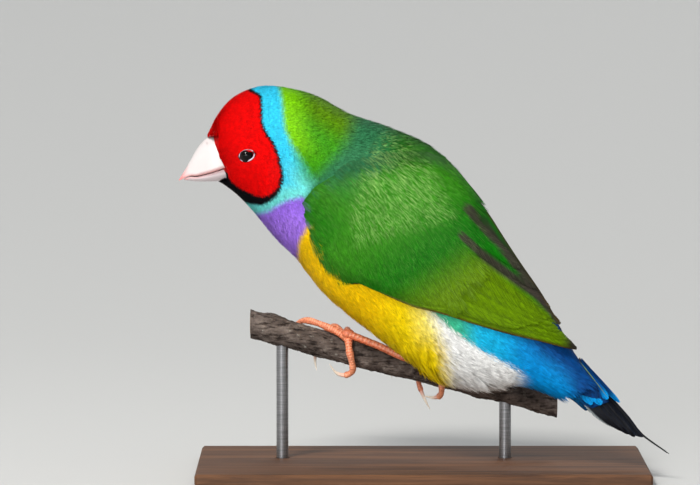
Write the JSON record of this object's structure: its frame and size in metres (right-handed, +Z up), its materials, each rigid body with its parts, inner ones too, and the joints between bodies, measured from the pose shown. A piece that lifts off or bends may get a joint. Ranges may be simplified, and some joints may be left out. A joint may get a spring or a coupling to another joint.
{
  "type": "gouldian finch",
  "caption": "Life-size still model of a red-headed male gouldian finch gripping a short perch on a flat display stand.",
  "frame": {"origin": "middle of the underside of the stand's base", "axes": "+X from the bill towards the tail along the base, -Y towards the bird's left side, +Z up"},
  "size_m": [0.1215, 0.064, 0.0968],
  "materials": {
    "plumage_mask": "matte feather",
    "plumage_neck": "matte feather",
    "plumage_body": "matte feather",
    "plumage_rump": "matte feather",
    "tail_feather": "satin feather",
    "wing_feather": "satin feather",
    "eye_gloss": "polished",
    "bill_horn": "satin horn",
    "leg_skin": "scaled skin",
    "claw_horn": "satin horn",
    "perch_bark": "rough bark",
    "stand_board": "satin varnish",
    "stand_metal": "brushed"
  },
  "bodies": {
    "root": {"head": "plumage_mask", "neck": "plumage_neck", "torso": "plumage_body", "rump": "plumage_rump", "tail": "tail_feather", "wing_left": "wing_feather", "wing_right": "wing_feather", "eye_left": "eye_gloss", "eye_right": "eye_gloss", "bill_upper": "bill_horn", "bill_lower": "bill_horn", "tarsus_left": "leg_skin", "tarsus_right": "leg_skin", "foot_left": "leg_skin", "foot_right": "leg_skin", "claw_left_hallux": "claw_horn", "claw_left_toe_inner": "claw_horn", "claw_left_toe_middle": "claw_horn", "claw_left_toe_outer": "claw_horn", "claw_right_hallux": "claw_horn", "claw_right_toe_inner": "claw_horn", "claw_right_toe_middle": "claw_horn", "claw_right_toe_outer": "claw_horn", "stand_perch": "perch_bark", "stand_base": "stand_board", "stand_rod_front": "stand_metal", "stand_rod_rear": "stand_metal"}
  },
  "joints": []
}
